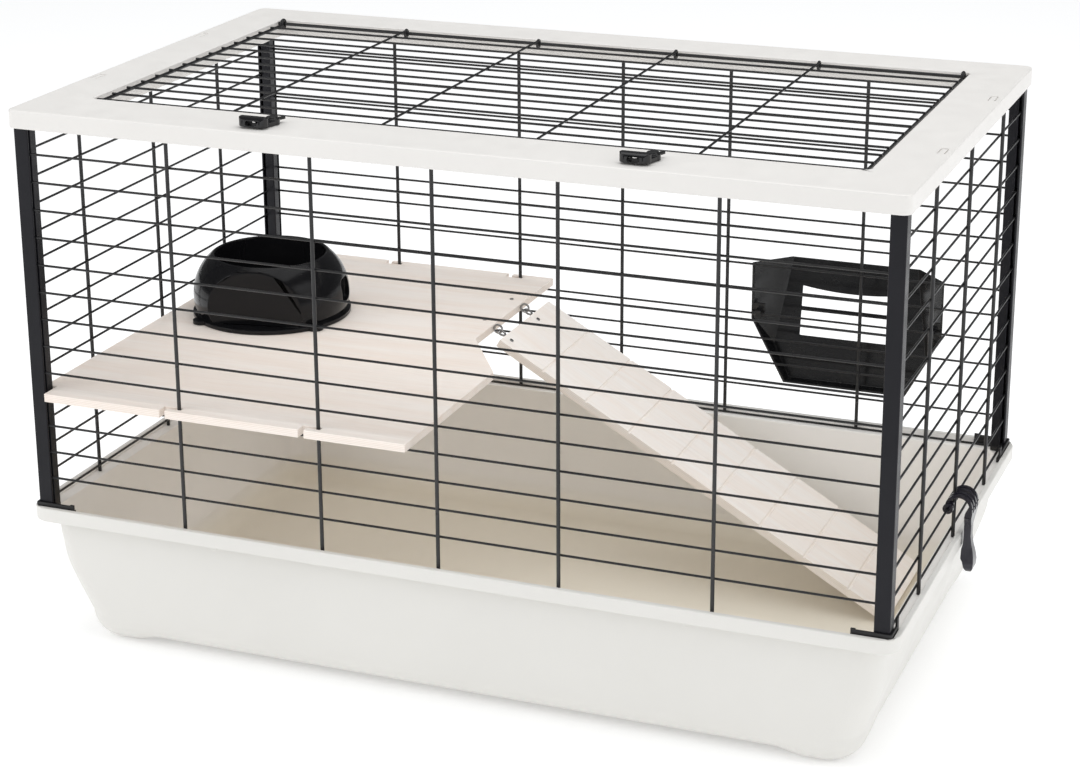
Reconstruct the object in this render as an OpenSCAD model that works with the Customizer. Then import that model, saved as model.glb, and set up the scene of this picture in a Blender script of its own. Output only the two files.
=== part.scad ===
// Small-animal cage. A moulded tub carries a wire cage with four corner posts and a
// moulded roof frame. The roof frame holds a wire door that swings back on a rod. A shelf
// hangs on the level wires, and a grooved ramp leads from it down to the tub's floor.
// A bowl stands on the shelf and a hay rack hooks on outside the back panel.
// Millimetres. The origin is the centre of the tub's underside on the floor, X runs along
// the length, -Y is the front, +Z is up.

/* [Tub] */
// length over the rim
tub_l = 800; // [790:10:840]
// width over the rim
tub_w = 480; // [475:5:520]
// height of the rim above the floor
tub_h = 135; // [125:5:150]
// thickness of the moulded wall
tub_wall = 2.4; // [2:0.2:3]

/* [Cage] */
// height from the rim to the roof frame
cage_h = 351; // [351:25:401]
// height of the roof frame
lid_t = 16; // [15:1:20]
// pitch of the level wires
pitch = 25; // [24.6:0.2:25.4]
// diameter of the level wires
row_d = 2.1; // [1.9:0.1:2.5]
// diameter of the upright wires
upright_d = 3.4; // [3:0.1:3.6]
// width of the square corner posts
post_w = 13.5; // [12.5:0.5:15]
// width of the roof frame's bars at the ends
bar_end = 48; // [46:1:54]

/* [Shelf and ramp] */
// thickness of the shelf
shelf_t = 7.6; // [7:0.2:9]
// slope of the ramp in degrees
ramp_a = 30.2; // [30:0.2:33]
// width of the ramp
ramp_w = 128; // [110:2:136]
// thickness of the ramp
ramp_t = 8; // [7:0.5:9]

/* [Bowl and hay rack] */
// diameter of the bowl's skirt
bowl_d = 153; // [150:1:160]
// height of the bowl
bowl_h = 60; // [54:1:60]
// width of the hay rack at its mouth
rack_w = 190; // [170:5:195]
// depth of the hay rack at its mouth
rack_d = 35; // [32:1:45]

/* [Hidden] */
$fn = 48;
// gap between pieces that only meet
gap = 0.3;
// radial clearance of a turning fit
fit = 0.05;
// how deep welded wires sink into each other
weld = 0.6;

// tub: half sizes of the wall at the rim, part way down and above the bottom rounding
wall_x = tub_l / 2 - 13.5;
wall_y = tub_w / 2 - 14.5;
belly_x = wall_x - 4.5;
belly_y = wall_y - 2;
belly_z = tub_h - 59;
foot_x = tub_l / 2 - 33;
foot_y = tub_w / 2 - 21.3;
// plan radius of the wall's corners at those heights, and the bottom rounding
corner_top = 14;
corner_belly = 20;
corner_low = 34;
round_low = 24;
// height of the underside between the corner feet, and how far the feet reach along
base_t = 5;
toe_x = 15;
toe_y = 15;
toe_in = 1.5;
skirt_h = 13;
ledge_h = 5.6;
ledge_r = 1.5;
lip_t = 5;
rim_r = 18;
floor_z = base_t + tub_wall;

// cage outline: outer faces of the posts, and the post's wall outside the level wires
post_t = 1.8;
post_r = 1;
groove = 7;
foot_proud = 2;
foot_up = 3.5;
post_x = tub_l / 2 - lip_t - 0.4 - foot_proud;
post_y = tub_w / 2 - lip_t - 0.4 - foot_proud;
row_r = row_d / 2;
up_r = upright_d / 2;
row_x = post_x - post_t - 0.2 - row_r;
row_y = post_y - post_t - 0.2 - row_r;
up_x = row_x + row_r + up_r - weld;
up_y = row_y + row_r + up_r - weld;
row_z0 = tub_h + 2;
// the long panels' lowest wire lies in the tub's rim, below the first row of the ends
low_z = tub_h - ledge_h + gap + row_r;
// ends of the level wires, in the posts' grooves
row_end_x = post_x - post_w + groove - gap;
row_end_y = post_y - post_w + groove - gap;
row_n = floor((cage_h + 1) / pitch) + 1;
long_ups = [-244, -109.5, 0, 109.5, 244];
short_ups = [-130, 0, 130];

// roof frame
lid_z = tub_h + cage_h;
lid_top = lid_z + lid_t;
lid_x = tub_l / 2 - 4;
lid_y = tub_w / 2 - 1.6;
lid_wall = 2.2;
lid_r = 8;
open_x = lid_x - bar_end;
open_f = -lid_y + 62.9;
open_b = lid_y - 48.4;
frame_end = lid_top - lid_wall - gap;

// roof door
rod_r = 1.6;
rod_y = open_b - 7;
rod_z = lid_top - 2.6;
door_y0 = open_f + 3.5;
door_n = 14;
door_pitch = (rod_y - door_y0) / door_n;
cross_z = rod_z + 2.6;
long_z = cross_z - row_d + 0.5;
side_z = long_z - row_r - rod_r + 0.5;
door_x = open_x - 5;
cross_xs = [-208.5, -69.5, 69.5, 208.5];
// turning latches: height over the roof frame, places of their pins, pin radius
latch_z = lid_top + 0.4;
latch_xs = [-156, 180];
latch_y = open_f - 30;
latch_pin = 3;

// shelf
shelf_row = 4;
shelf_z = row_z0 + shelf_row * pitch + row_r + gap;
shelf_top = shelf_z + shelf_t;
shelf_left = -row_x + row_r + gap + 1.3;
shelf_right_f = -25;
shelf_right_b = -77;
shelf_lip = up_y + up_r + 6.6;
slot_w = upright_d + 1.8;
slot_shift = 13;

// ramp hinge: two linked eyes
eye_r = 4;
eye_wire = 1;
eye_ys = [81, 150];
hinge_x = shelf_right_b + eye_r + eye_wire;
hinge_z = shelf_z + shelf_t / 2 - 1.6;
eye_reach = 2 * eye_r + eye_wire + 0.6;
ramp_back = 188;
ramp_y0 = ramp_back - ramp_w;
ramp_x = hinge_x + eye_reach * cos(ramp_a) + ramp_t / 2 * sin(ramp_a);
ramp_z = hinge_z - eye_reach * sin(ramp_a) + ramp_t / 2 * cos(ramp_a);
ramp_l = (ramp_z - ramp_t * cos(ramp_a) - floor_z - gap) / sin(ramp_a);
groove_pitch = 50;
groove_end = 30;
// screws of the eyes: length and radius in the wood
screw_in = 14;
screw_r = 0.9;

// bowl
bowl_x = -tub_l / 2 + 105;
bowl_y = 45;
bowl_turn = 11;
bowl_shoulder = 23;
bowl_mouth = bowl_d / 2 - bowl_shoulder;

// hay rack: hangs on the row that also carries the shelf
rack_x = tub_l / 2 - 171;
rack_y = up_y + up_r + 0.8;
rack_top = row_z0 + 6 * pitch;
rack_mid = rack_top - 57;
rack_low = rack_top - 120;
rack_wall = 2;
hook_z = row_z0 + shelf_row * pitch + row_r + gap;

// side clip: turns on the second row of the right panel
clip_z = row_z0 + pitch;
clip_w = 40;

// rectangle with true round corners, half sizes a and b
module round_rect(a, b, r) {
    square([2 * a, 2 * b - 2 * r], center = true);
    square([2 * a - 2 * r, 2 * b], center = true);
    for (sx = [-1, 1], sy = [-1, 1])
        translate([sx * (a - r), sy * (b - r)]) circle(r = r);
}

// half size of the tub's upper wall at height z
function wall_at(belly, top, z) = belly + (top - belly) * (z - belly_z) / (tub_h - belly_z);

// disc with a rounded lower edge that makes the tub's lower corners, inset by e
module low_corner(e) {
    rotate_extrude() intersection() {
        translate([corner_low - round_low, 0]) circle(r = round_low - e);
        translate([0, -round_low]) square([corner_low, round_low]);
    }
}

// body of the tub inset by e: the wall leans out, more below than above, and the plan radius
// of its corners shrinks upwards
module tub_form(e, z_top) {
    a = wall_at(belly_x, wall_x, z_top);
    b = wall_at(belly_y, wall_y, z_top);
    hull() {
        for (sx = [-1, 1], sy = [-1, 1]) {
            translate([sx * (a - corner_top), sy * (b - corner_top), z_top - 0.2])
                cylinder(r = corner_top - e, h = 0.2);
            translate([sx * (belly_x - corner_belly), sy * (belly_y - corner_belly), belly_z])
                cylinder(r = corner_belly - e, h = 0.2);
            translate([sx * (foot_x - corner_low), sy * (foot_y - corner_low), round_low + base_t])
                low_corner(e);
        }
    }
}

// feet: the lower corners carried on down, a short way along both sides
module tub_feet() {
    for (sx = [-1, 1], sy = [-1, 1]) hull()
        for (d = [[0, 0], [toe_x, 0], [0, toe_y]])
            translate([sx * (foot_x - corner_low - d[0]), sy * (foot_y - corner_low - d[1]), 0])
                translate([0, 0, round_low - toe_in]) low_corner(toe_in, $fn = 32);
}

// rod along X, Y or Z between two coordinates
module rod_x(x0, x1, y, z, r) {
    translate([x0, y, z]) rotate([0, 90, 0]) cylinder(r = r, h = x1 - x0);
}

module rod_y(x, y0, y1, z, r) {
    translate([x, y0, z]) rotate([-90, 0, 0]) cylinder(r = r, h = y1 - y0);
}

module rod_z(x, y, z0, z1, r) {
    translate([x, y, z0]) cylinder(r = r, h = z1 - z0);
}

// the wall is about as thick as its inset; the underside is raised between four corner feet,
// and a flat plate under its middle makes the rest face
module tub() {
    color([0.86, 0.85, 0.83]) difference() {
        union() {
            tub_form(0, tub_h - ledge_h - 1);
            tub_feet();
            linear_extrude(base_t + 0.6) round_rect(foot_x - 60, foot_y - 45, 12);
            difference() {
                translate([0, 0, tub_h - skirt_h]) linear_extrude(skirt_h)
                    round_rect(tub_l / 2, tub_w / 2, rim_r);
                translate([0, 0, tub_h - skirt_h - 1]) linear_extrude(skirt_h - ledge_h - tub_wall + 1)
                    round_rect(tub_l / 2 - tub_wall, tub_w / 2 - tub_wall, rim_r - tub_wall);
            }
            // small bosses outside, just below the rim
            for (sy = [-1, 1], x = [-220, 220])
                rod_y(x, sy * (wall_y - 2.6) - 3.2, sy * (wall_y - 2.6) + 3.2, tub_h - 18, 4);
            for (sx = [-1, 1], y = [-117, 117])
                rod_x(sx * (wall_x - 2.9) - 3.2, sx * (wall_x - 2.9) + 3.2, y, tub_h - 18, 4);
        }
        tub_form(tub_wall, tub_h + 1);
        translate([0, 0, tub_h - ledge_h]) linear_extrude(ledge_h + 1)
            round_rect(tub_l / 2 - lip_t, tub_w / 2 - lip_t, ledge_r);
    }
}

// a snap tongue in the end bar: a slit round three sides, wider at the tongue's free end, and a
// hook that grips the top row
module snap_slit(sx, y) {
    translate([sx * (row_x - 1.6) - 3.4, y - 9, lid_top - lid_wall - 1]) {
        cube([1, 18, lid_wall + 2]);
        translate([5.8, 0, 0]) cube([1, 18, lid_wall + 2]);
        translate([0, 15.4, 0]) cube([6.8, 2.6, lid_wall + 2]);
    }
}

module snap_hook(sx, y) {
    hook_top = row_z0 + (row_n - 1) * pitch - row_r - gap;
    x_leg = sx * (row_x - row_r - gap - 0.9);
    translate([x_leg - 0.9, y - 1, hook_top - 1.6])
        cube([1.8, 6, lid_top - lid_wall + 0.4 - hook_top + 1.6]);
    translate([x_leg + (sx > 0 ? -0.9 : -2.2), y - 1, hook_top - 1.6]) cube([3.1, 6, 1.6]);
}

module lid_frame() {
    mid_y = (open_f + open_b) / 2;
    half_y = (open_b - open_f) / 2;
    color([0.9, 0.9, 0.88]) difference() {
        union() {
            difference() {
                translate([0, 0, lid_z]) linear_extrude(lid_t) difference() {
                    round_rect(lid_x, lid_y, lid_r);
                    translate([0, mid_y]) round_rect(open_x, half_y, 5);
                }
                translate([0, 0, lid_z - 1]) linear_extrude(lid_t - lid_wall + 1) difference() {
                    round_rect(lid_x - lid_wall, lid_y - lid_wall, lid_r - lid_wall);
                    translate([0, mid_y]) round_rect(open_x + lid_wall, half_y + lid_wall, 7.2);
                }
                for (sx = [-1, 1], y = [-97, 97]) snap_slit(sx, y);
            }
            for (sx = [-1, 1], y = [-97, 97]) snap_hook(sx, y);
        }
        rod_x(-open_x - 10, open_x + 10, rod_y, rod_z, rod_r + fit);
        for (x = latch_xs) rod_z(x, latch_y, lid_z, lid_top + 1, latch_pin + fit);
    }
}

// square post, drawn for the corner +X +Y; a groove in each inner face takes the level wires
module post_at(sx, sy) {
    half = post_w / 2;
    slot = row_d + 0.4;
    color([0.09, 0.09, 0.1]) scale([sx, sy, 1]) translate([0, 0, tub_h - 0.7])
        linear_extrude(frame_end - tub_h + 0.7) difference() {
            translate([post_x - half, post_y - half]) round_rect(half, half, post_r);
            translate([post_x - post_w - 1, row_y - slot / 2]) square([groove + 1, slot]);
            translate([row_x - slot / 2, post_y - post_w - 1]) square([slot, groove + 1]);
        }
}

// shoe under the post with a low kerb outside it; the side leg ends in an upright tab, and the
// outer corner is rounded to stay clear of the rounded corner of the tub's ledge
module foot_at(sx, sy, leg_x, leg_y) {
    out_x = post_x + foot_proud;
    out_y = post_y + foot_proud;
    low = tub_h - ledge_h + gap;
    color([0.07, 0.07, 0.08]) scale([sx, sy, 1]) {
        intersection() {
            union() {
                translate([0, 0, low]) linear_extrude(tub_h + foot_up - low) {
                    translate([out_x - leg_x, post_y + 0.1]) square([leg_x, foot_proud - 0.1]);
                    translate([post_x + 0.1, out_y - leg_y]) square([foot_proud - 0.1, leg_y]);
                }
                translate([0, 0, low]) linear_extrude(tub_h - 0.7 - low) {
                    translate([out_x - leg_x, post_y - post_t]) square([leg_x, foot_proud + post_t]);
                    translate([post_x - post_t, out_y - leg_y]) square([foot_proud + post_t, leg_y]);
                    translate([post_x - post_w, post_y - post_w]) square(post_w + foot_proud);
                }
            }
            translate([0, 0, low - 1]) linear_extrude(tub_h + foot_up + 2 - low)
                round_rect(out_x, out_y, ledge_r - 0.4);
        }
        translate([post_x + 0.1, out_y - leg_y, tub_h]) cube([foot_proud - 0.1, 5, 10]);
        translate([out_x - leg_x, post_y + 0.1, tub_h]) cube([4, foot_proud - 0.1, foot_up + 1]);
    }
}

// wire panels: level wires on the inside, thicker uprights on the outside
module long_panel(sy) {
    color([0.06, 0.06, 0.06]) {
        rod_x(-post_x + post_w + gap, post_x - post_w - gap, sy * row_y, low_z, row_r);
        for (i = [1 : row_n - 1])
            rod_x(-row_end_x, row_end_x, sy * row_y, row_z0 + i * pitch, row_r);
        for (x = long_ups) rod_z(x, sy * up_y, tub_h - ledge_h + gap, frame_end, up_r);
    }
}

module short_panel(sx) {
    color([0.06, 0.06, 0.06]) {
        for (i = [0 : row_n - 1])
            rod_y(sx * row_x, -row_end_y, row_end_y, row_z0 + i * pitch, row_r);
        for (y = short_ups) rod_z(sx * up_x, y, tub_h - ledge_h + gap, frame_end, up_r);
    }
}

// eye bent round the hinge rod
module door_eye(x, wire) {
    translate([x, rod_y, rod_z]) rotate([0, 90, 0]) rotate_extrude()
        translate([rod_r + 0.35 + wire, 0]) circle(r = wire);
}

module roof_door() {
    cross_end = sqrt(pow(rod_r + 0.35 + 1.35, 2) - pow(cross_z - rod_z, 2));
    side_end = sqrt(pow(rod_r + 0.35 + 1.7, 2) - pow(rod_z - side_z, 2));
    color([0.06, 0.06, 0.06]) {
        rod_x(-door_x - 1.2, door_x + 1.2, door_y0, long_z, rod_r);
        for (i = [1 : door_n - 1])
            rod_x(-door_x - 1.2, door_x + 1.2, door_y0 + i * door_pitch, long_z, row_r);
        for (x = cross_xs) {
            rod_y(x, door_y0 - 1, rod_y - cross_end, cross_z, row_r);
            door_eye(x, 1.35);
        }
        for (x = [-door_x, door_x]) {
            rod_y(x, door_y0 - 1, rod_y - side_end, side_z, rod_r);
            door_eye(x, 1.7);
        }
    }
}

module door_rod() {
    color([0.06, 0.06, 0.06]) rod_x(-open_x - 6, open_x + 6, rod_y, rod_z, rod_r);
}

// latch that turns flat on the front bar: a round boss on a snapped-in pin, a short nose,
// and a rounded grip with an eyelet through it
module latch_at(x) {
    below = 0.4 + lid_wall + gap;
    color([0.05, 0.05, 0.06]) translate([x, latch_y, latch_z]) difference() {
        union() {
            cylinder(r = 6.4, h = 5.4);
            translate([0, 0, 5.3]) cylinder(r = 5, h = 1.3);
            rotate([0, 0, -25]) translate([-1.6, 3, 2.4]) cube([3.2, 10, 2.4]);
            linear_extrude(4.2) polygon([[-6, -1], [-13, -12], [3, -12], [5.4, -2.4]]);
            translate([-9, -16, 1.2]) intersection() {
                linear_extrude(8) {
                    square([14, 12], center = true);
                    for (s = [-1, 1]) translate([s * 7, 0]) circle(r = 6);
                }
                translate([-20, 0, 0]) rotate([90, 0, 90]) linear_extrude(40) {
                    translate([-6.2, 0]) square([12.4, 4]);
                    translate([-2.2, 0]) square([4.4, 8]);
                    for (s = [-1, 1]) translate([s * 2.2, 4]) circle(r = 4);
                }
            }
            translate([0, 0, -below - 1.4]) cylinder(r = latch_pin, h = below + 1.6);
            translate([0, 0, -below - 1.4]) cylinder(r = latch_pin + 1.3, h = 1.4);
        }
        translate([-9, -8, 4.5]) rotate([90, 0, 0]) linear_extrude(16) {
            square([6.4, 3.8], center = true);
            for (s = [-1, 1]) translate([s * 3.2, 0]) circle(r = 1.9);
        }
    }
}

// side clip, drawn round its turning axis: hub on the row wire, four arched fingers, a neck
// down over the rim, a tooth and a thick spoon-shaped tongue
module side_clip() {
    arch = [8.6, 0.5];
    color([0.05, 0.05, 0.06]) translate([row_x, 0, clip_z]) difference() {
        union() {
            intersection() {
                translate([0, clip_w / 2, 0]) rotate([90, 0, 0]) linear_extrude(clip_w) {
                    difference() {
                        translate(arch) circle(r = 12.1);
                        translate(arch) circle(r = 9.3);
                        translate([-10, -20]) square([40, 20.5]);
                    }
                    translate([-3, 0]) square([2.3, 2.6]);
                    circle(r = 3);
                    polygon([[20.5, 2.5], [20.8, -4], [19.7, -12], [19, -18], [18.8, -28],
                        [19.9, -36], [21.4, -42], [22.2, -46.5], [22.7, -52], [22.4, -57.4],
                        [20.6, -61.3], [18, -62.4], [15.8, -61.3], [14, -57], [13, -52],
                        [11.1, -49], [11.1, -41], [12.2, -36], [12.5, -30], [12.5, -18],
                        [14.4, -4], [17.7, 2.5]]);
                }
                translate([-10, 0, 0]) rotate([90, 0, 90]) linear_extrude(clip_w) {
                    translate([-13, -8]) square([26, 24]);
                    polygon([[-13, -7.9], [-4.5, -18], [4.5, -18], [13, -7.9]]);
                    translate([-4.5, -41]) square([9, 24]);
                    polygon([[-4.5, -39], [-8, -52], [-8, -54.5], [8, -54.5], [8, -52], [4.5, -39]]);
                    translate([0, -54.5]) circle(r = 8);
                }
            }
            rod_y(0, -17.5, -13, 0, 4.6);
            rod_y(0, -13.2, -9.5, 0, 3);
        }
        rod_y(0, -clip_w / 2, clip_w / 2, 0, row_r + fit);
        translate([-12, -2.5, -4]) cube([40, 5, 30]);
        for (y = [-9.5, 6]) translate([-12, y, -4]) cube([40, 3.5, 30]);
    }
}

// bayonet slot for an upright: a mouth beside the wire and a run behind the lip
module shelf_slot(x, sy) {
    run = up_r + 0.9;
    translate([x - slot_shift - slot_w / 2, sy > 0 ? up_y - run : -shelf_lip - 1])
        square([slot_w, shelf_lip + 1 - up_y + run]);
    translate([x - slot_shift, sy * up_y - run]) square([slot_shift + run, 2 * run]);
}

module shelf() {
    edge = post_y - post_w - 0.6;
    corner = -post_x + post_w + 3.6;
    color([0.93, 0.84, 0.74]) difference() {
        translate([0, 0, shelf_z]) linear_extrude(shelf_t) difference() {
            polygon([[shelf_left, -edge], [corner, -edge], [corner, -shelf_lip],
                [shelf_right_f, -shelf_lip], [shelf_right_f, -45], [shelf_right_b, 37],
                [shelf_right_b, shelf_lip], [corner, shelf_lip], [corner, edge],
                [shelf_left, edge]]);
            for (x = [-244, -109.5], sy = [-1, 1]) shelf_slot(x, sy);
        }
        for (y = eye_ys) {
            rod_x(shelf_right_b - screw_in - 1, shelf_right_b + 1, y, shelf_z + shelf_t / 2, screw_r + fit);
            rod_z(shelf_right_b - 13, y + 10, shelf_top - 5, shelf_top + 1, 0.8 + fit);
        }
    }
}

// screw eyes in the shelf's edge, rings upright
module shelf_eyes() {
    color([0.7, 0.7, 0.72]) for (y = eye_ys) {
        translate([hinge_x, y, shelf_z + shelf_t / 2]) rotate([90, 0, 0]) rotate_extrude()
            translate([eye_r, 0]) circle(r = eye_wire);
        rod_x(shelf_right_b - screw_in, hinge_x - eye_r + 0.3, y, shelf_z + shelf_t / 2, screw_r);
    }
}

module shelf_pins() {
    color([0.45, 0.43, 0.42]) for (y = eye_ys) {
        rod_z(shelf_right_b - 13, y + 10, shelf_top - 4.6, shelf_top + 0.5, 0.8);
        rod_z(shelf_right_b - 13, y + 10, shelf_top + 0.1, shelf_top + 0.9, 1.9);
    }
}

// the ramp's own frame: X down the slope from the top edge, Z square to the board
module on_ramp() {
    translate([ramp_x, 0, ramp_z]) rotate([0, ramp_a, 0]) children();
}

module ramp() {
    color([0.93, 0.84, 0.74]) on_ramp() difference() {
        translate([0, ramp_y0, -ramp_t]) cube([ramp_l, ramp_w, ramp_t]);
        for (s = [groove_pitch : groove_pitch : ramp_l - groove_end])
            translate([s, ramp_y0 - 1, -1.2]) cube([2.4, ramp_w + 2, 2]);
        for (y = eye_ys) {
            rod_x(-1, screw_in + 1, y, -ramp_t / 2, screw_r + fit);
            rod_z(8, y - 9, -5, 1, 0.8 + fit);
        }
    }
}

// screw eyes in the ramp's end, rings lying in the board's plane through the shelf's rings
module ramp_eyes() {
    color([0.7, 0.7, 0.72]) on_ramp() for (y = eye_ys) {
        translate([-eye_reach + eye_r, y, -ramp_t / 2]) rotate_extrude()
            translate([eye_r, 0]) circle(r = eye_wire);
        rod_x(-eye_reach + 2 * eye_r - 0.3, screw_in, y, -ramp_t / 2, screw_r);
    }
}

module ramp_pins() {
    color([0.45, 0.43, 0.42]) on_ramp() for (y = eye_ys) {
        rod_z(8, y - 9, -4.6, 0.5, 0.8);
        rod_z(8, y - 9, 0.1, 0.9, 1.9);
    }
}

// bowl: barrel side over a wide skirt, straight-sided well, a flattened front with two toes,
// and a finger recess on each side
module bowl() {
    side_r = bowl_d / 2 - 25.7;
    well_r = 15;
    front_y = -bowl_d / 2 + 16.5;
    color([0.04, 0.04, 0.045]) translate([bowl_x, bowl_y, shelf_top + gap])
        rotate([0, 0, bowl_turn]) difference() {
            union() {
                rotate_extrude($fn = 96) difference() {
                    union() {
                        intersection() {
                            translate([bowl_d / 2 - 1 - side_r, 20]) circle(r = side_r);
                            square([bowl_d / 2, bowl_h]);
                        }
                        square([bowl_d / 2, 4]);
                    }
                    translate([0, 8]) square([bowl_mouth - well_r, bowl_h]);
                    translate([0, 8 + well_r]) square([bowl_mouth, bowl_h]);
                    translate([bowl_mouth - well_r, 8 + well_r]) circle(r = well_r);
                    translate([0, -1]) square([bowl_d / 2 - 9, 5]);
                }
                for (s = [-1, 1]) translate([s * (bowl_d / 2 - 20), front_y + 10.5]) cylinder(r = 8, h = 4);
            }
            translate([-60, front_y - 30, 4]) cube([120, 30, bowl_h]);
            for (s = [-1, 1]) translate([s * (bowl_d / 2 - 2.5) - 4.5, 0, 26]) rotate([90, 0, 90])
                linear_extrude(9) round_rect(12, 11, 5);
        }
}

// hay rack: body as the meeting of its front, side and top outlines, inset by e
module rack_form(e) {
    h = rack_w / 2 - e;
    low = rack_w / 2 - 34 - e;
    intersection() {
        translate([rack_x, rack_y + 100, 0]) rotate([90, 0, 0]) linear_extrude(200)
            polygon([[-h, rack_top + e], [-h, rack_mid], [-low, rack_low + e], [low, rack_low + e],
                [h, rack_mid], [h, rack_top + e]]);
        translate([rack_x - 200, 0, 0]) rotate([90, 0, 90]) linear_extrude(400)
            polygon([[rack_y - e, rack_low], [rack_y - e, rack_top + e],
                [rack_y + rack_d - e, rack_top + e], [rack_y + rack_d - 20 - e, rack_low]]);
        translate([0, 0, rack_low]) linear_extrude(rack_top + e - rack_low)
            polygon([[rack_x - h, rack_y - e], [rack_x + h, rack_y - e],
                [rack_x + h, rack_y + 2], [rack_x + h - 31, rack_y + rack_d - e],
                [rack_x - h + 31, rack_y + rack_d - e], [rack_x - h, rack_y + 2]]);
    }
}

// hook over the row wire, reaching in between two rows
module rack_hook(x) {
    translate([x - 3, row_y - row_r - 0.4 - 2.5, hook_z])
        cube([6, rack_y + 1 - row_y + row_r + 2.9, 2.8]);
    translate([x - 3, row_y - row_r - 0.4 - 2.5, hook_z - 5.2]) cube([6, 2.5, 6]);
}

module hay_rack() {
    h = rack_w / 2;
    color([0.05, 0.05, 0.055]) difference() {
        union() {
            difference() {
                rack_form(0);
                rack_form(rack_wall);
            }
            for (x = [rack_x - h + 9, rack_x + h - 9]) rack_hook(x);
            // pads behind the hooks
            for (s = [-1, 1])
                translate([rack_x + s * (h - 7) - 7, rack_y, hook_z - 6]) cube([14, 2, 14]);
        }
        // window in the outer plate, its upper edge hanging in the middle, one bar across it
        difference() {
            translate([rack_x - 51, rack_y + 5, rack_top - 76]) cube([102, 60, 50]);
            rod_y(rack_x, rack_y, rack_y + 70, rack_top - 31 + 327, 327);
            translate([rack_x - 60, rack_y, rack_top - 51.5]) cube([120, 100, 4]);
        }
    }
}

tub();
lid_frame();
post_at(-1, -1);  // post_fl
post_at(1, -1);  // post_fr
post_at(-1, 1);  // post_bl
post_at(1, 1);  // post_br
foot_at(-1, -1, 38.5, 24);  // foot_fl
foot_at(1, -1, 34, 24);  // foot_fr
foot_at(-1, 1, 38.5, 45);  // foot_bl
foot_at(1, 1, 34, 45);  // foot_br
long_panel(-1);  // front_panel
long_panel(1);  // back_panel
short_panel(-1);  // left_panel
short_panel(1);  // right_panel
roof_door();
door_rod();
latch_at(latch_xs[0]);  // latch_left
latch_at(latch_xs[1]);  // latch_right
side_clip();
shelf();
ramp();
shelf_eyes();
ramp_eyes();
shelf_pins();
ramp_pins();
bowl();
hay_rack();
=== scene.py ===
import math

import bmesh
import bpy
import numpy as np
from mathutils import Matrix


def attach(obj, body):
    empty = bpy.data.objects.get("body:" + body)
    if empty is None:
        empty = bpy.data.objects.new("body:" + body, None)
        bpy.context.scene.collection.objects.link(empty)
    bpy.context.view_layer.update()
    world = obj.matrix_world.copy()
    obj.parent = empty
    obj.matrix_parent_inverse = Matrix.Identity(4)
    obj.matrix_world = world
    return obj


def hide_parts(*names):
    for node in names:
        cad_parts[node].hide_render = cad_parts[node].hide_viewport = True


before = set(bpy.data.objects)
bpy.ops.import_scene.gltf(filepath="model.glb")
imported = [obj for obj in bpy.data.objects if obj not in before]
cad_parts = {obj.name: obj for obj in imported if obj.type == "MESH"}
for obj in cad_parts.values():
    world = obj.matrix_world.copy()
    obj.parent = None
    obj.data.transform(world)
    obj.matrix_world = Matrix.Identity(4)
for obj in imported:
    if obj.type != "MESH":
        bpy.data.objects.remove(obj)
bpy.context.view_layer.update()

# Camera
# It stands where the photographer stood, two metres in front of the cage, to the right and half
# a metre above the roof. The small lens shift is the photograph's own framing.

camera_place = (0.80333, -2.03558, 1.00704)
camera_turn = (1.251870, 0.004119, 0.373310)
camera_lens = 84.069
framing_shift = -0.0620
camera = bpy.data.objects.new("camera", bpy.data.cameras.new("camera"))
bpy.context.scene.collection.objects.link(camera)
camera.location = camera_place
camera.rotation_euler = camera_turn
camera.data.sensor_width = 36
camera.data.lens = camera_lens
camera.data.shift_y = framing_shift
camera.data.clip_end = 60
bpy.context.scene.camera = camera
bpy.context.scene.view_settings.view_transform = "Standard"

# Studio
# A white sweep of paper under the cage, a large soft box overhead and a smaller one on either
# side, and a pale surround that the lens sees as pure white and glossy faces see much darker.


def principled(material):
    """The material's own principled shader."""
    return material.node_tree.nodes["Principled BSDF"]


def plain_material(name, colour, roughness):
    """A material with one principled shader, its constants on the shader's own sockets."""
    material = bpy.data.materials.new(name)
    material.use_nodes = True
    principled(material).inputs["Base Color"].default_value = (*colour, 1)
    principled(material).inputs["Roughness"].default_value = roughness
    return material


paper_half = 9
paper_corners = [(sx * paper_half, sy * paper_half, 0) for sx, sy in ((-1, -1), (1, -1), (1, 1), (-1, 1))]
paper_mesh = bpy.data.meshes.new("paper")
paper_mesh.from_pydata(paper_corners, [], [(0, 1, 2, 3)])
paper = bpy.data.objects.new("paper", paper_mesh)
bpy.context.scene.collection.objects.link(paper)
paper_white = plain_material("paper_white", (0.96, 0.96, 0.96), 0.9)
principled(paper_white).inputs["Specular IOR Level"].default_value = 0.1
principled(paper_white).inputs["Emission Color"].default_value = (1, 1, 1, 1)
principled(paper_white).inputs["Emission Strength"].default_value = 0.2
paper_mesh.materials.append(paper_white)

for name, place, turn, width, watts in (
    ("overhead_box", (0.2, 0.1, 2.6), (0, 0, 0), 2.4, 25),
    ("left_box", (-2.2, -1.9, 1.7), (math.radians(62), 0, math.radians(-49)), 1.6, 15),
    ("right_box", (2.6, -0.4, 1.5), (math.radians(66), 0, math.radians(80)), 1.6, 10),
):
    lamp = bpy.data.objects.new(name, bpy.data.lights.new(name, "AREA"))
    bpy.context.scene.collection.objects.link(lamp)
    lamp.data.shape = "SQUARE"
    lamp.data.size = width
    lamp.data.energy = watts
    lamp.location = place
    lamp.rotation_euler = turn

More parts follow.
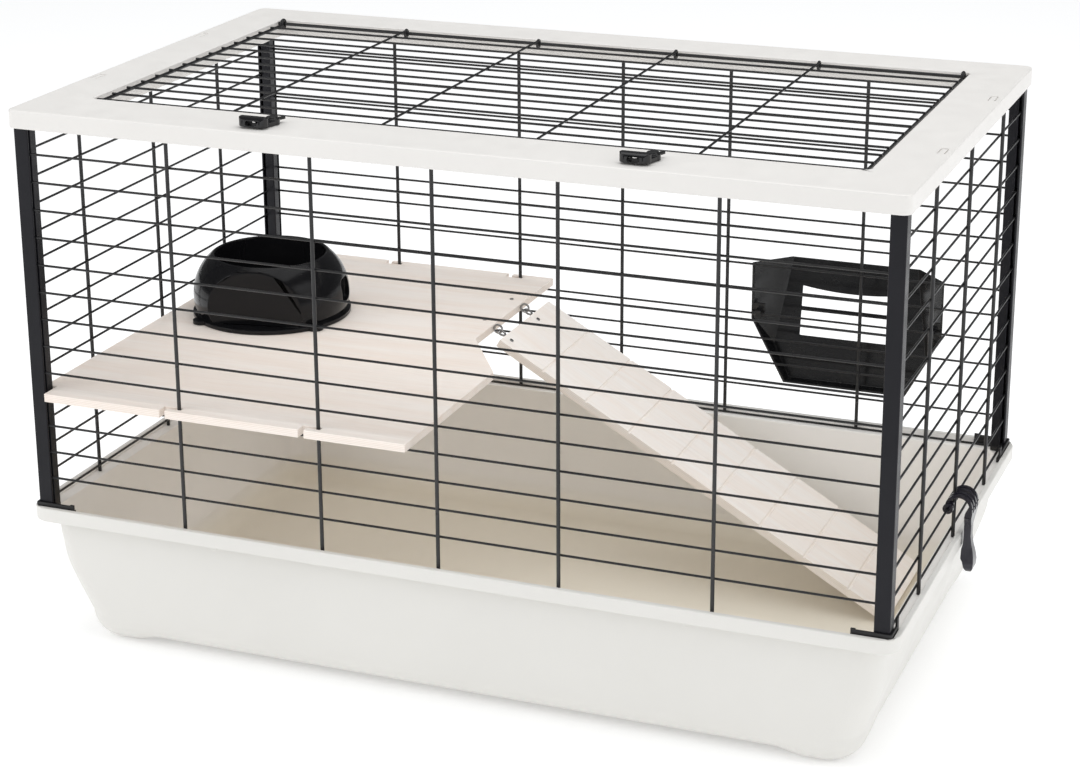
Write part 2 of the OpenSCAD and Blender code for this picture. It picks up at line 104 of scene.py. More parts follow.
# the surround's light, and how much of it glossy faces lose
sky_strength = 0.74
glossy_loss = 0.62
studio = bpy.data.worlds.new("studio")
bpy.context.scene.world = studio
studio.use_nodes = True
sky = studio.node_tree
sky.nodes.clear()
sky_out = sky.nodes.new("ShaderNodeOutputWorld")
sky_mix = sky.nodes.new("ShaderNodeMixShader")
sky_seen = sky.nodes.new("ShaderNodeBackground")
sky_light = sky.nodes.new("ShaderNodeBackground")
sky_path = sky.nodes.new("ShaderNodeLightPath")
sky_seen.inputs["Color"].default_value = (1, 1, 1, 1)
sky_light.inputs["Color"].default_value = (0.98, 0.99, 1, 1)
sky_dim = sky.nodes.new("ShaderNodeMath")
sky_dim.operation = "MULTIPLY_ADD"
sky_dim.inputs[1].default_value = -glossy_loss
sky_dim.inputs[2].default_value = sky_strength
sky.links.new(sky_path.outputs["Is Glossy Ray"], sky_dim.inputs[0])
sky.links.new(sky_dim.outputs[0], sky_light.inputs["Strength"])
sky.links.new(sky_path.outputs["Is Camera Ray"], sky_mix.inputs[0])
sky.links.new(sky_light.outputs[0], sky_mix.inputs[1])
sky.links.new(sky_seen.outputs[0], sky_mix.inputs[2])
sky.links.new(sky_mix.outputs[0], sky_out.inputs["Surface"])

# Tub
# The deep base is injection moulded from pale polypropylene: walls that lean out, a rolled
# bottom edge, a turned-down skirt round the rim and a ledge inside the lip for the cage.


def plan_ring(corner_steps, long_steps, short_steps):
    """Signs and directions of a rounded rectangle's outline, counterclockwise from above.
    A point is (u (a - r) + r cos t, v (b - r) + r sin t) for half sizes a, b and corner radius r.
    Along a straight side u or v runs from -1 to 1, closer at the ends as (1 - cos) / 2; round
    a corner only the angle t runs."""
    quarter = np.linspace(0, np.pi / 2, corner_steps + 1)
    u, v, t = [], [], []
    for k, (cu, cv) in enumerate(((1, 1), (-1, 1), (-1, -1), (1, -1))):
        u.append(np.full(corner_steps + 1, float(cu)))
        v.append(np.full(corner_steps + 1, float(cv)))
        t.append(quarter + k * np.pi / 2)
        steps = long_steps if k % 2 == 0 else short_steps
        run = (1 - np.cos(np.pi * np.linspace(0, 1, steps + 1)[1:-1])) / 2
        nu, nv = ((-1, 1), (-1, -1), (1, -1), (1, 1))[k]
        u.append(cu + (nu - cu) * run)
        v.append(cv + (nv - cv) * run)
        t.append(np.full(steps - 1, (k + 1) * np.pi / 2))
    return np.concatenate(u), np.concatenate(v), np.concatenate(t)


def carried_round(ring, a, b, r, z):
    """A grid of points: the profile (a, b, r, z) carried round the rounded rectangle, by
    x = u (a - r) + r cos t and y = v (b - r) + r sin t."""
    u, v, t = ring
    a, b, r, z = (np.asarray(c, float)[:, None] for c in (a, b, r, z))
    r = np.maximum(r, 0.0)
    x = u * (a - r) + r * np.cos(t)
    y = v * (b - r) + r * np.sin(t)
    return np.stack([x, y, np.broadcast_to(z, x.shape)], -1)


def skin(name, grids):
    """One mesh of closed skins, given in millimetres. Each grid has rows of points that close
    round on themselves, and its first and last row are shut by a flat face. Faces are turned
    outwards by the sign of the volume, the sum over faces of centre times area normal."""
    verts, faces, start = [], [], 0
    for grid in grids:
        rows, cols = grid.shape[:2]
        points = grid.reshape(-1, 3)
        i = np.arange(rows - 1)[:, None] * cols
        j = np.arange(cols)
        k = (j + 1) % cols
        quads = np.stack([i + j, i + k, i + cols + k, i + cols + j], -1).reshape(-1, 4)
        p = points[quads]
        side = np.cross(p[:, 2] - p[:, 0], p[:, 3] - p[:, 1]) / 2
        caps = [np.arange(cols)[::-1], np.arange(cols) + (rows - 1) * cols]
        total = (p.mean(1) * side).sum()
        for cap in caps:
            c = points[cap]
            total += (c.mean(0) * np.cross(c, np.roll(c, -1, 0)).sum(0) / 2).sum()
        turn = -1 if total < 0 else 1
        faces += (quads[:, ::turn] + start).tolist()
        faces += [(cap[::turn] + start).tolist() for cap in caps]
        verts.append(points)
        start += len(points)
    mesh = bpy.data.meshes.new(name)
    mesh.from_pydata(np.concatenate(verts) * 0.001, [], faces)
    mesh.update()
    return mesh


def arc(cx, cz, r, start, stop, steps):
    """Points of an arc in the profile plane: (cx + r cos t, cz + r sin t), t in degrees."""
    t = np.radians(np.linspace(start, stop, steps + 1))
    return np.stack([cx + r * np.cos(t), cz + r * np.sin(t)], 1)


def finished(mesh, body, material, nodes=(), sharp=32):
    """The mesh as a shown piece: smooth but for edges sharper than the given degrees, its
    normals weighted by face area, riding on its body and standing for its CAD nodes."""
    mesh.shade_smooth()
    mesh.set_sharp_from_angle(angle=math.radians(sharp))
    piece = bpy.data.objects.new(mesh.name, mesh)
    bpy.context.scene.collection.objects.link(piece)
    weigh = piece.modifiers.new("weigh", "WEIGHTED_NORMAL")
    weigh.keep_sharp = True
    mesh.materials.clear()
    mesh.materials.append(material)
    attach(piece, body)
    if nodes:
        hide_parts(*nodes)
    return piece


def tune(tree, kind, **values):
    """A new node with the named inputs or properties set."""
    node = tree.nodes.new(kind)
    for key, value in values.items():
        if key in node.inputs:
            node.inputs[key].default_value = value
        else:
            setattr(node, key, value)
    return node


moulded = bpy.data.node_groups.new("moulded_skin", "ShaderNodeTree")
for label, kind, value in (
    ("Colour", "NodeSocketColor", (0.8, 0.8, 0.8, 1)),
    ("Shade", "NodeSocketColor", (0.7, 0.7, 0.7, 1)),
    ("Grain Size", "NodeSocketFloat", 900.0),
    ("Grain Depth", "NodeSocketFloat", 0.1),
    ("Gloss Low", "NodeSocketFloat", 0.3),
    ("Gloss High", "NodeSocketFloat", 0.5),
):
    moulded.interface.new_socket(label, in_out="INPUT", socket_type=kind).default_value = value
for label, kind in (
    ("Colour", "NodeSocketColor"),
    ("Roughness", "NodeSocketFloat"),
    ("Normal", "NodeSocketVector"),
):
    moulded.interface.new_socket(label, in_out="OUTPUT", socket_type=kind)
group_in = moulded.nodes.new("NodeGroupInput")
group_out = moulded.nodes.new("NodeGroupOutput")
group_at = moulded.nodes.new("ShaderNodeTexCoord")
clouds = tune(moulded, "ShaderNodeTexNoise", Scale=7.0, Detail=3.0)
scuffs = tune(moulded, "ShaderNodeTexNoise", Scale=46.0, Detail=5.0, Roughness=0.62)
fine_grain = tune(moulded, "ShaderNodeTexNoise", Detail=2.0)
two_tones = tune(moulded, "ShaderNodeMix", data_type="RGBA")
gloss_span = tune(moulded, "ShaderNodeMapRange")
cloud_span = tune(moulded, "ShaderNodeMapRange")
for span in (gloss_span, cloud_span):
    span.inputs["From Min"].default_value = 0.3
    span.inputs["From Max"].default_value = 0.7
grain_bump = tune(moulded, "ShaderNodeBump", Distance=0.0004)
for node in (clouds, scuffs, fine_grain):
    moulded.links.new(group_at.outputs["Object"], node.inputs["Vector"])
moulded.links.new(group_in.outputs["Grain Size"], fine_grain.inputs["Scale"])
moulded.links.new(clouds.outputs["Fac"], cloud_span.inputs["Value"])
moulded.links.new(cloud_span.outputs["Result"], two_tones.inputs["Factor"])
moulded.links.new(group_in.outputs["Colour"], two_tones.inputs["A"])
moulded.links.new(group_in.outputs["Shade"], two_tones.inputs["B"])
moulded.links.new(two_tones.outputs["Result"], group_out.inputs["Colour"])
moulded.links.new(scuffs.outputs["Fac"], gloss_span.inputs["Value"])
moulded.links.new(group_in.outputs["Gloss Low"], gloss_span.inputs["To Min"])
moulded.links.new(group_in.outputs["Gloss High"], gloss_span.inputs["To Max"])
moulded.links.new(gloss_span.outputs["Result"], group_out.inputs["Roughness"])
moulded.links.new(fine_grain.outputs["Fac"], grain_bump.inputs["Height"])
moulded.links.new(group_in.outputs["Grain Depth"], grain_bump.inputs["Strength"])
moulded.links.new(grain_bump.outputs["Normal"], group_out.inputs["Normal"])


def moulded_material(name, colour, shade, grain_size, grain_depth, low, high):
    """A moulded plastic: two near tones in soft clouds, scuffed gloss and a fine grain."""
    material = plain_material(name, colour, (low + high) / 2)
    tree, shader = material.node_tree, principled(material)
    surface = tree.nodes.new("ShaderNodeGroup")
    surface.name = "surface"
    surface.node_tree = moulded
    surface.inputs["Colour"].default_value = (*colour, 1)
    surface.inputs["Shade"].default_value = (*shade, 1)
    surface.inputs["Grain Size"].default_value = grain_size
    surface.inputs["Grain Depth"].default_value = grain_depth
    surface.inputs["Gloss Low"].default_value = low
    surface.inputs["Gloss High"].default_value = high
    tree.links.new(surface.outputs["Colour"], shader.inputs["Base Color"])
    tree.links.new(surface.outputs["Roughness"], shader.inputs["Roughness"])
    tree.links.new(surface.outputs["Normal"], shader.inputs["Normal"])
    return material


# half sizes, length by width, of the rim, the wall's foot, belly and top, and the middle plate
tub_half = np.array([400.0, 240.0])
tub_foot = np.array([367.0, 218.7])
tub_belly = np.array([382.0, 223.5])
tub_wall_top = np.array([386.5, 225.5])
tub_plate = np.array([307.0, 173.7])
# thickness, and heights of the underside, the belly and the lip
tub_thick = 2.4
tub_base = 5.0
tub_belly_z = 76.0
tub_height = 135.0
# radius of the rolled bottom edge, and the height where the straight wall begins
tub_roll = 24.0
roll_top = tub_base + tub_roll


def tub_half_at(z):
    """Half sizes of the outside wall. Two straight leans, from the roll's top to the belly and
    on to the lip, joined by a smooth minimum: min(a, b) - h h k / 4 with
    h = max(k - |a - b|, 0) / k."""
    z = np.asarray(z, float)[:, None]
    low = tub_foot + (tub_belly - tub_foot) * (z - roll_top) / (tub_belly_z - roll_top)
    high = tub_belly + (tub_wall_top - tub_belly) * (z - tub_belly_z) / (tub_height - tub_belly_z)
    blend = 2.4
    h = np.maximum(blend - np.abs(low - high), 0) / blend
    return np.minimum(low, high) - h * h * blend / 4


def tub_corner_at(z):
    """Plan radius of the wall's corners: 34 up to a height of 25, 20 at 76 and 14 at 135, in
    short straight runs that follow a curve."""
    return np.interp(z, [25, 44, 60, 76, 100, 135], [34, 27.4, 23.2, 20, 17, 14])


def tub_rows():
    """The section of the tub from the middle of its underside, out and up the outside, over
    the skirt and lip, and down the inside to the floor, as half sizes, corner radius, height.
    Also the number of rows before the inside begins."""
    rows = []

    def row(half, radius, height):
        half, radius, height = np.atleast_2d(half), np.atleast_1d(radius), np.atleast_1d(height)
        rows.append(np.column_stack([half, np.broadcast_to(radius, len(height)), height]))

    # the middle plate, with a small round along its edges, and the raised underside
    base = tub_foot - tub_roll
    base_corner, plate_corner, nip = 10, 12, 0.4
    row(tub_plate - 50, 4, 0.0)
    row(tub_plate - nip, plate_corner - nip, 0.0)
    row(tub_plate, plate_corner, nip)
    row(tub_plate, plate_corner, tub_base - nip)
    row(tub_plate + nip, plate_corner + nip, tub_base)
    row(base - 12, base_corner, tub_base)
    row(base - 3, base_corner, tub_base)
    row(base, base_corner, tub_base)
    # the rolled edge and the outside wall, up to the underside of the rim
    under_rim = 127.0
    roll = arc(0, roll_top, tub_roll, -90, 0, 18)[1:]
    row(base + roll[:, :1], base_corner + roll[:, 0], roll[:, 1])
    up = np.linspace(roll_top, under_rim - 1, 30)[1:]
    row(tub_half_at(up), tub_corner_at(up), up)
    row(tub_half_at(np.array([under_rim - 0.3])) + 0.3, 14.9, under_rim - 0.3)
    row(tub_half_at(np.array([under_rim])) + 1.0, 15.5, under_rim)
    # the skirt, down its inner face, round its lower edge and up to the lip
    rim_corner, skirt_thick, skirt_low, edge = 18, 2.4, 122.0, 1.1
    row(tub_half - 3.4, 14.8, under_rim)
    row(tub_half - 2.6, 15.4, under_rim - 0.2)
    row(tub_half - skirt_thick, rim_corner - skirt_thick, under_rim - 1)
    row(tub_half - skirt_thick, rim_corner - skirt_thick, skirt_low + 1)
    turn = arc(0, skirt_low + edge, edge, 180, 360, 8)
    row(tub_half - edge + turn[:, :1], rim_corner - edge + turn[:, 0], turn[:, 1])
    row(tub_half, rim_corner, skirt_low + 3)
    top = arc(0, tub_height - edge, edge, 0, 90, 5)
    row(tub_half - edge + top[:, :1], rim_corner - edge + top[:, 0], top[:, 1])
    outside = sum(len(part) for part in rows)
    # over the lip and out along the ledge that carries the cage
    lip_width, lip_corner, crest, ledge = 5.0, 1.5, 0.8, 129.4
    fall = arc(0, tub_height - crest, crest, 90, 180, 4)
    row(tub_half - lip_width + crest + fall[:, :1], lip_corner + crest + fall[:, 0], fall[:, 1])
    row(tub_half - lip_width, lip_corner, ledge + 0.6)
    row(tub_half - lip_width - 0.3, lip_corner - 0.2, ledge + 0.1)
    row(tub_half - lip_width - 1, lip_corner - 0.3, ledge)
    # the ledge's inner edge, the inside wall and the floor
    inner = tub_half_at(np.array([ledge]))[0] - tub_thick
    row(inner + 1.2, 12.9, ledge)
    row(inner + 0.35, 12.3, ledge - 0.35)
    row(inner, 11.9, ledge - 1.2)
    down = np.linspace(under_rim, roll_top + 0.5, 26)
    row(tub_half_at(down) - tub_thick, tub_corner_at(down) - tub_thick, down)
    roll = arc(0, roll_top, tub_roll - tub_thick, -2, -90, 16)
    row(base + roll[:, :1], base_corner + roll[:, 0], roll[:, 1])
    row(base - 6, 9, tub_base + tub_thick)
    row(base - 90, 4, tub_base + tub_thick)
    return np.concatenate(rows), outside


def with_feet(grid):
    """The outside skin with its four corner feet: points below the feet's top sink by
    base s(|x|) s(|y|) f(z), where s eases from 0 to 1 into the corner as 3 c c - 2 c c c
    and f falls straight from 1 at the underside to 0 at the feet's top."""
    feet_top = 44
    feet_from, feet_ease = (290, 146), (30, 24)
    x, y, z = np.abs(grid[..., 0]), np.abs(grid[..., 1]), grid[..., 2]
    c = [np.clip((q - start) / run, 0, 1) for q, start, run in zip((x, y), feet_from, feet_ease)]
    near = c[0] ** 2 * (3 - 2 * c[0]) * c[1] ** 2 * (3 - 2 * c[1])
    fade = np.clip((feet_top - z) / (feet_top - tub_base), 0, 1)
    grid[..., 2] = z - tub_base * near * fade
    return grid


def button(centre, axis, reach, radius=4, edge=0.9, root=1.5):
    """A small round button on a wall: centre + p (cos t side + sin t up) + h axis, where the
    profile (p, h) runs from the root under the wall, over a quarter circle, to the proud face."""
    t = np.linspace(0, 2 * np.pi, 28, endpoint=False)
    rolled = arc(radius - edge, reach - edge, edge, 0, 90, 4)
    profile = np.concatenate([[[radius, -root]], rolled, [[radius * 0.45, reach + 0.05]]])
    axis = np.asarray(axis, float)
    side = np.array([-axis[1], axis[0], 0])
    up = np.array([0, 0, 1.0])
    ring = np.cos(t)[:, None] * side + np.sin(t)[:, None] * up
    return np.asarray(centre) + profile[:, 0][:, None, None] * ring + profile[:, 1][:, None, None] * axis


tub_ring = plan_ring(14, 76, 52)
tub_section, tub_outside = tub_rows()
tub_grid = carried_round(tub_ring, *tub_section.T)
tub_grid[4:tub_outside] = with_feet(tub_grid[4:tub_outside])
tub_grids = [tub_grid]
button_z = 117
for sy in (-1, 1):
    for x in (-220, 220):
        tub_grids.append(button((x, sy * 224.7, button_z), (0, sy, 0), 1.4))
for sx in (-1, 1):
    for y in (-117, 117):
        tub_grids.append(button((sx * 385.0, y, button_z), (sx, 0, 0), 1.7))
tub_mesh = skin("tub_moulding", tub_grids)
# the faces inside the lip carry the second material, which holds the painted light on the inner walls and
# the painted shade on the floor
tub_cols = tub_grid.shape[1]
tub_last = (len(tub_section) - 1) * tub_cols
tub_inside = np.zeros(len(tub_mesh.polygons), np.int32)
tub_inside[(tub_outside + 4) * tub_cols : tub_last] = 1
tub_inside[tub_last + 1] = 1

# the outside's plastic; the second material below is a copy of the same plastic with painted light and
# shade
tub_plastic = moulded_material(
    "tub_plastic", (0.780, 0.767, 0.732), (0.756, 0.743, 0.709), 1400.0, 0.22, 0.34, 0.5
)
# inside, the walls are painted lighter than the outside as painted light, and the floor a darker beige as
# painted shade; the moulding itself is one colour throughout
tub_inner_painted_light = moulded_material(
    "tub_inner_painted_light", (0.955, 0.93, 0.895), (0.935, 0.91, 0.875), 1400.0, 0.22, 0.3, 0.46
)
# painted shade on the floor: a darker beige that fades into the wall colour between these two heights
floor_painted_shade = (0.87, 0.815, 0.70)
floor_end, wall_start = 0.008, 0.034
beige_tree = tub_inner_painted_light.node_tree
beige_at = beige_tree.nodes.new("ShaderNodeTexCoord")
beige_xyz = beige_tree.nodes.new("ShaderNodeSeparateXYZ")
beige_rise = tune(beige_tree, "ShaderNodeMapRange", interpolation_type="SMOOTHSTEP")
beige_rise.inputs["From Min"].default_value = floor_end
beige_rise.inputs["From Max"].default_value = wall_start
beige_mix = tune(beige_tree, "ShaderNodeMix", data_type="RGBA")
beige_mix.inputs["A"].default_value = (*floor_painted_shade, 1)
beige_tree.links.new(beige_at.outputs["Object"], beige_xyz.inputs[0])
beige_tree.links.new(beige_xyz.outputs["Z"], beige_rise.inputs["Value"])
beige_tree.links.new(beige_rise.outputs["Result"], beige_mix.inputs["Factor"])
beige_tree.links.new(beige_tree.nodes["surface"].outputs["Colour"], beige_mix.inputs["B"])
beige_tree.links.new(beige_mix.outputs["Result"], principled(tub_inner_painted_light).inputs["Base Color"])
finished(tub_mesh, "tub", tub_plastic, ["tub"])
tub_mesh.materials.append(tub_inner_painted_light)
tub_mesh.polygons.foreach_set("material_index", tub_inside)

# Roof frame
# One flat moulding of the same plastic, hollow underneath, with softly rounded outer edges.
# Its end bars carry snap tongues that grip the wire panels; it is pressed on by hand.


def softened(name, node, rule, join=True, cuts=(), merge=2e-6):
    """A merged copy of a CAD node, with its sharp edges weighted for rounding, and the widest
    rounding in millimetres. The rule gives each edge's width from the edge's middle point.
    Flat facets are joined first, but not where a window through them would be lost. Cuts are
    planes (axis, millimetres) that divide large faces, so that none of them runs round a hole."""
    flat_bend, sharp_bend = math.radians(0.6), math.radians(28)
    work = bmesh.new()
    work.from_mesh(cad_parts[node].data)
    bmesh.ops.remove_doubles(work, verts=work.verts, dist=merge)
    for axis, place in cuts:
        point, across = [0, 0, 0], [0, 0, 0]
        point[axis], across[axis] = place / 1000, 1
        everything = list(work.verts) + list(work.edges) + list(work.faces)
        made = bmesh.ops.bisect_plane(work, geom=everything, dist=1e-7, plane_co=point, plane_no=across)
        for part in made["geom_cut"]:
            if isinstance(part, bmesh.types.BMEdge):
                part.seam = True
    if join:
        bmesh.ops.dissolve_limit(
            work, angle_limit=flat_bend, verts=work.verts, edges=work.edges, delimit={"SEAM"}
        )
    bends = np.array([e.calc_face_angle(0.0) for e in work.edges])
    mesh = bpy.data.meshes.new(name)
    work.to_mesh(mesh)
    work.free()
    ends = np.zeros(len(mesh.edges) * 2, np.int32)
    mesh.edges.foreach_get("vertices", ends)
    points = np.zeros(len(mesh.vertices) * 3)
    mesh.vertices.foreach_get("co", points)
    points = points.reshape(-1, 3) * 1000
    middles = points[ends.reshape(-1, 2)].mean(1)
    widths = np.where(bends > sharp_bend, rule(middles), 0.0)
    widest = max(float(widths.max()), 1e-6)
    weight = mesh.attributes.new("bevel_weight_edge", "FLOAT", "EDGE")
    weight.data.foreach_set("value", (widths / widest).astype(np.float32))
    return mesh, widest


def rounded_piece(parts, body, material, node):
    """The softened copy as a shown piece, with a live bevel that follows the edge weights."""
    mesh, widest = parts
    piece = finished(mesh, body, material, [node], sharp=30)
    bevel = piece.modifiers.new("bevel", "BEVEL")
    bevel.limit_method = "WEIGHT"
    bevel.width = widest / 1000
    bevel.segments = 3
    bevel.use_clamp_overlap = False
    bevel.loop_slide = False
    bevel.miter_outer = "MITER_ARC"
    piece.modifiers.move(1, 0)
    return piece


def roof_rule(at):
    """1.4 mm along the outer top edge, 0.8 along the opening's top edge, 0.4 along the outer
    lower edges, and 0.15 at the upright corners, slits, hooks and bores."""
    x, y, z = np.abs(at[:, 0]), at[:, 1], at[:, 2]
    top, bottom = z > 501.5, z < 486.5
    outside = (x > 395.5) | (np.abs(y) > 237.9)
    corner = (x > 387.5) & (np.abs(y) > 229.9)
    opening = (np.abs(x - 348) < 0.6) | (np.abs(y + 175.5) < 0.6) | (np.abs(y - 190) < 0.6)
    width = np.full(len(at), 0.15)
    width[opening & top] = 0.8
    width[(outside | corner) & top] = 1.4
    width[(outside | corner) & bottom] = 0.4
    return width


frame_plastic = moulded_material(
    "frame_plastic", (0.825, 0.805, 0.777), (0.805, 0.785, 0.757), 1500.0, 0.16, 0.32, 0.46
)
# planes just outside the opening's four sides, in the middle, and through the latches' bores
# and the snap tongues
roof_cuts = [(0, x) for x in (-352, -156, 0, 180, 352)] + [(1, y) for y in (-180, -97, 97, 194)]
rounded_piece(
    softened("roof_frame", "lid_frame", roof_rule, cuts=roof_cuts),
    "cage", frame_plastic, "lid_frame",
)

# Corner posts
# Four square steel profiles, powder coated black, each with a groove in its two inner faces
# that takes the level wires' ends. They stand in plastic shoes and carry the roof frame.


def even(width):
    """A rule that gives every edge the same width in millimetres."""
    return lambda at: np.full(len(at), width)


post_coat = moulded_material(
    "post_coat", (0.006, 0.006, 0.009), (0.010, 0.010, 0.014), 2600.0, 0.3, 0.3, 0.44
)
principled(post_coat).inputs["Specular IOR Level"].default_value = 0.25
for corner in ("fl", "fr", "bl", "br"):
    rounded_piece(
        softened("post_profile_" + corner, "post_" + corner, even(0.35)),
        "cage", post_coat, "post_" + corner,
    )

# Corner shoes
# Black moulded shoes lie in the tub's rim under each post, with a low kerb along both sides
# and an upright tab at the end of the side leg.

shoe_plastic = moulded_material(
    "shoe_plastic", (0.010, 0.010, 0.011), (0.016, 0.016, 0.017), 1900.0, 0.25, 0.34, 0.52
)
for corner in ("fl", "fr", "bl", "br"):
    rounded_piece(
        softened("shoe_" + corner, "foot_" + corner, even(0.35)),
        "cage", shoe_plastic, "foot_" + corner,
    )

# Wire panels, roof door and its rod
# Drawn steel wires, spot welded where they cross and dipped in a black coating that shines
# softly along each wire. The roof door's eyes are bent round its rod.

wire_coat = moulded_material(
    "wire_coat", (0.010, 0.010, 0.011), (0.020, 0.020, 0.021), 700.0, 0.2, 0.26, 0.44
)
for node in ("front_panel", "back_panel", "left_panel", "right_panel", "roof_door", "door_rod"):
    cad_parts[node].data.materials[0] = wire_coat

# Latches
# Two polished black turn latches, each a boss on a pin snapped through the roof frame with
# a rounded grip that has an eyelet through it.

latch_gloss = moulded_material(
    "latch_gloss", (0.006, 0.006, 0.007), (0.012, 0.012, 0.013), 500.0, 0.06, 0.12, 0.24
)


def latch_rule(at):
    """0.55 mm on the parts above the roof frame, 0.2 on the pin through and below it."""
    return np.where(at[:, 2] > 502.3, 0.55, 0.2)


for side in ("left", "right"):
    rounded_piece(
        softened("latch_moulding_" + side, "latch_" + side, latch_rule),
        "latch_" + side, latch_gloss, "latch_" + side,
    )

# Side clip
# One springy clip moulded in glossy black plastic. It hangs on a wire by four arched fingers
# and folds down over the tub's rim.

clip_gloss = moulded_material(
    "clip_gloss", (0.012, 0.011, 0.017), (0.028, 0.026, 0.037), 500.0, 0.08, 0.12, 0.24
)
rounded_piece(
    softened("clip_moulding", "side_clip", even(0.45)),
    "clip", clip_gloss, "side_clip",
)

# Shelf and ramp
# Pale birch plywood, sawn and lightly sanded. The shelf hangs on the level wires by notches
# that turn behind the uprights; the ramp has shallow foot grooves cut across it.


def birch_material(name, turn, lift, dark_tone, light_tone):
    """Plywood: long faint grain in noise stretched along the boards, pores, a few darker
    streaks, and glue lines on the cut edges where the height repeats each ply. The turn
    brings the board level, and the lift sets the height where its plies begin."""
    ply = 0.00152
    material = plain_material(name, (0.86, 0.76, 0.66), 0.55)
    tree, shader = material.node_tree, principled(material)
    at = tree.nodes.new("ShaderNodeTexCoord")
    lay = tune(tree, "ShaderNodeMapping")
    lay.inputs["Rotation"].default_value = (0, turn, 0)
    lay.inputs["Location"].default_value = lift
    tree.links.new(at.outputs["Object"], lay.inputs["Vector"])
    stretch = tune(tree, "ShaderNodeVectorMath", operation="MULTIPLY")
    stretch.inputs[1].default_value = (5.0, 46.0, 46.0)
    tree.links.new(lay.outputs[0], stretch.inputs[0])
    grain = tune(tree, "ShaderNodeTexNoise", Scale=1.0, Detail=5.0, Roughness=0.6, Distortion=0.6)
    tree.links.new(stretch.outputs[0], grain.inputs["Vector"])
    fine = tune(tree, "ShaderNodeVectorMath", operation="MULTIPLY")
    fine.inputs[1].default_value = (22.0, 520.0, 520.0)
    tree.links.new(lay.outputs[0], fine.inputs[0])
    pores = tune(tree, "ShaderNodeTexNoise", Scale=1.0, Detail=3.0, Roughness=0.7)
    tree.links.new(fine.outputs[0], pores.inputs["Vector"])
    tones = tune(tree, "ShaderNodeValToRGB")
    tones.color_ramp.elements[0].position = 0.34
    tones.color_ramp.elements[0].color = (*dark_tone, 1)
    tones.color_ramp.elements[1].position = 0.62
    tones.color_ramp.elements[1].color = (*light_tone, 1)
    tree.links.new(grain.outputs["Fac"], tones.inputs[0])
    pore_tone = tune(tree, "ShaderNodeMapRange")
    pore_tone.inputs["From Min"].default_value = 0.25
    pore_tone.inputs["From Max"].default_value = 0.5
    pore_tone.inputs["To Min"].default_value = 0.94
    tree.links.new(pores.outputs["Fac"], pore_tone.inputs["Value"])
    dotted = tune(tree, "ShaderNodeVectorMath", operation="SCALE")
    tree.links.new(tones.outputs["Color"], dotted.inputs[0])
    tree.links.new(pore_tone.outputs["Result"], dotted.inputs["Scale"])
    height = tree.nodes.new("ShaderNodeSeparateXYZ")
    tree.links.new(lay.outputs[0], height.inputs[0])
    plies = tune(tree, "ShaderNodeMath", operation="PINGPONG")
    plies.inputs[1].default_value = ply / 2
    tree.links.new(height.outputs["Z"], plies.inputs[0])
    line = tune(tree, "ShaderNodeMapRange")
    line.inputs["From Min"].default_value = 0.00002
    line.inputs["From Max"].default_value = 0.0002
    tree.links.new(plies.outputs[0], line.inputs["Value"])
    lean = tree.nodes.new("ShaderNodeSeparateXYZ")
    turned = tune(tree, "ShaderNodeMapping", vector_type="NORMAL")
    turned.inputs["Rotation"].default_value = (0, turn, 0)
    tree.links.new(at.outputs["Normal"], turned.inputs["Vector"])
    tree.links.new(turned.outputs[0], lean.inputs[0])
    upright = tune(tree, "ShaderNodeMath", operation="ABSOLUTE")
    tree.links.new(lean.outputs["Z"], upright.inputs[0])
    edge = tune(tree, "ShaderNodeMath", operation="LESS_THAN")
    edge.inputs[1].default_value = 0.4
    tree.links.new(upright.outputs[0], edge.inputs[0])
    dark = tune(tree, "ShaderNodeMath", operation="SUBTRACT")
    dark.inputs[0].default_value = 1.0
    tree.links.new(line.outputs["Result"], dark.inputs[1])
    cut = tune(tree, "ShaderNodeMath", operation="MULTIPLY")
    tree.links.new(edge.outputs[0], cut.inputs[0])
    tree.links.new(dark.outputs[0], cut.inputs[1])
    part = tune(tree, "ShaderNodeMath", operation="MULTIPLY")
    part.inputs[1].default_value = 0.55
    tree.links.new(cut.outputs[0], part.inputs[0])
    tone = tune(tree, "ShaderNodeMix", data_type="RGBA")
    tone.inputs["B"].default_value = (0.55, 0.40, 0.29, 1)
    tree.links.new(part.outputs[0], tone.inputs["Factor"])
    tree.links.new(dotted.outputs[0], tone.inputs["A"])
    tree.links.new(tone.outputs["Result"], shader.inputs["Base Color"])
    rough = tune(tree, "ShaderNodeMapRange")
    rough.inputs["To Min"].default_value = 0.62
    rough.inputs["To Max"].default_value = 0.48
    tree.links.new(grain.outputs["Fac"], rough.inputs["Value"])
    tree.links.new(rough.outputs["Result"], shader.inputs["Roughness"])
    bump = tune(tree, "ShaderNodeBump", Strength=0.25, Distance=0.0002)
    tree.links.new(pores.outputs["Fac"], bump.inputs["Height"])
    tree.links.new(bump.outputs["Normal"], shader.inputs["Normal"])
    return material


shelf_underside = 0.23835
shelf_birch = birch_material(
    "shelf_birch", 0.0, (0, 0, -shelf_underside), (0.93, 0.82, 0.735), (0.965, 0.89, 0.825)
)
rounded_piece(
    softened("shelf_board", "shelf", even(0.45)),
    "cage", shelf_birch, "shelf",
)
ramp_slope = math.radians(-30.2)
ramp_birch = birch_material(
    "ramp_birch", ramp_slope, (0, 0, 0), (0.965, 0.875, 0.80), (0.99, 0.94, 0.89)
)
rounded_piece(
    softened("ramp_board", "ramp", even(0.4)),
    "ramp", ramp_birch, "ramp",
)

# Screw eyes and pins
# Bright zinc-plated screw eyes, linked ring in ring as the ramp's hinge, each with a small
# nail through the plywood that locks its shank.

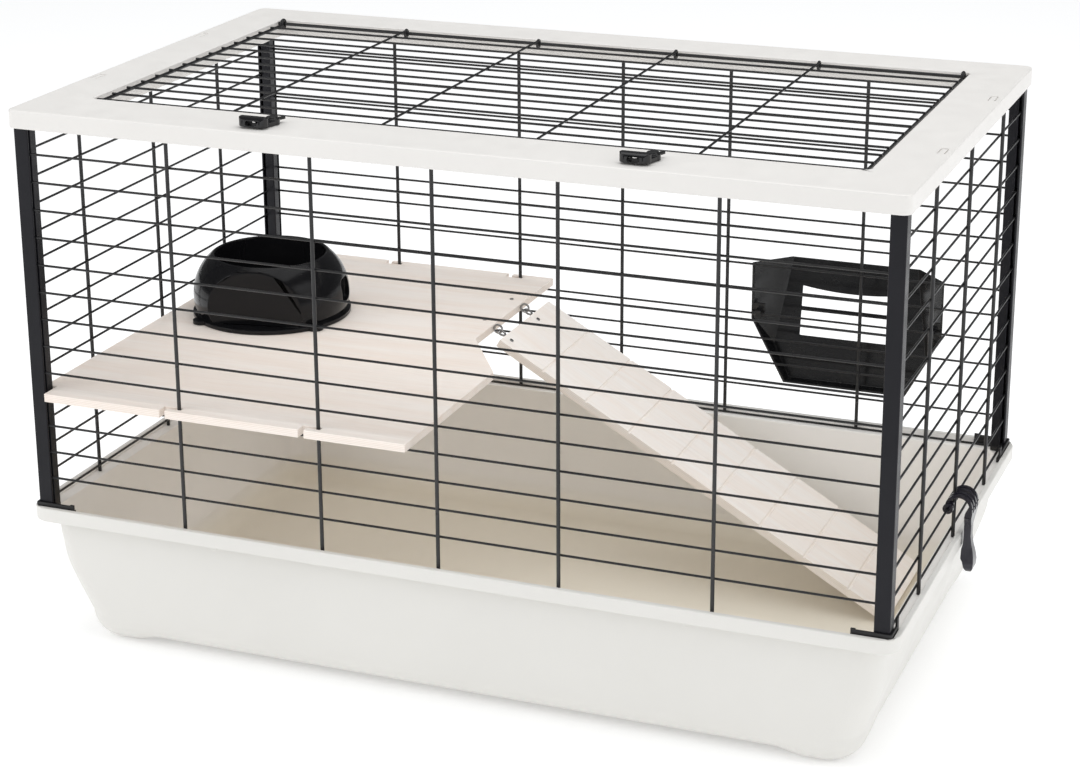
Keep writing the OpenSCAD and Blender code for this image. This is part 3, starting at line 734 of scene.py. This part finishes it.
zinc = moulded_material(
    "zinc", (0.50, 0.50, 0.51), (0.38, 0.38, 0.39), 900.0, 0.3, 0.2, 0.38
)
principled(zinc).inputs["Metallic"].default_value = 1.0
for node in ("shelf_eyes", "ramp_eyes", "shelf_pins", "ramp_pins"):
    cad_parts[node].data.materials[0] = zinc

# Bowl
# A glossy black moulded bowl: a barrel side over a wide skirt, a straight-sided well, a front
# pressed flat with two toes at its foot, and a finger recess on each side.

bowl_gloss = moulded_material(
    "bowl_gloss", (0.005, 0.005, 0.006), (0.009, 0.009, 0.010), 420.0, 0.05, 0.12, 0.22
)
principled(bowl_gloss).inputs["IOR"].default_value = 1.32


def bowl_rule(at):
    """1.2 mm round the mouth, which is all that lies above 300, and 0.6 elsewhere."""
    width = np.full(len(at), 0.6)
    width[at[:, 2] > 300] = 1.2
    return width


rounded_piece(
    softened("bowl_moulding", "bowl", bowl_rule, merge=3.5e-4),
    "bowl", bowl_gloss, "bowl",
)

bowl_centre = (-295, 45)
bowl_foot = 246.25
bowl_turn = math.radians(11)


def toe_strip():
    """The skirt's thin floor before the flattened side: the strip between the line y = -flat
    and the arc y = -sqrt(skirt^2 - x^2) round the bowl's axis, turned like the bowl."""
    skirt, flat, half, low, high, steps = 68.2, 58.5, 34.8, 2.6, 3.96, 25
    x = np.linspace(-half, half, steps)
    arched = -np.sqrt(skirt**2 - x**2)
    straight = np.full(steps, -flat)
    y = np.stack([arched, straight, straight, arched], 1)
    z = np.broadcast_to([high, high, low, low], y.shape)
    x = np.broadcast_to(x[:, None], y.shape)
    c, s = math.cos(bowl_turn), math.sin(bowl_turn)
    return np.stack([x * c - y * s + bowl_centre[0], x * s + y * c + bowl_centre[1], z + bowl_foot], -1)


finished(skin("bowl_toe_strip", [toe_strip()]), "bowl", bowl_gloss)

# Hay rack
# A black moulded pocket that hooks over the wires outside the back panel, with a window
# and one bar across it.

rack_gloss = moulded_material(
    "rack_gloss", (0.007, 0.007, 0.008), (0.012, 0.012, 0.012), 800.0, 0.1, 0.16, 0.3
)
rounded_piece(
    softened("rack_moulding", "hay_rack", even(0.7), join=False),
    "rack", rack_gloss, "hay_rack",
)
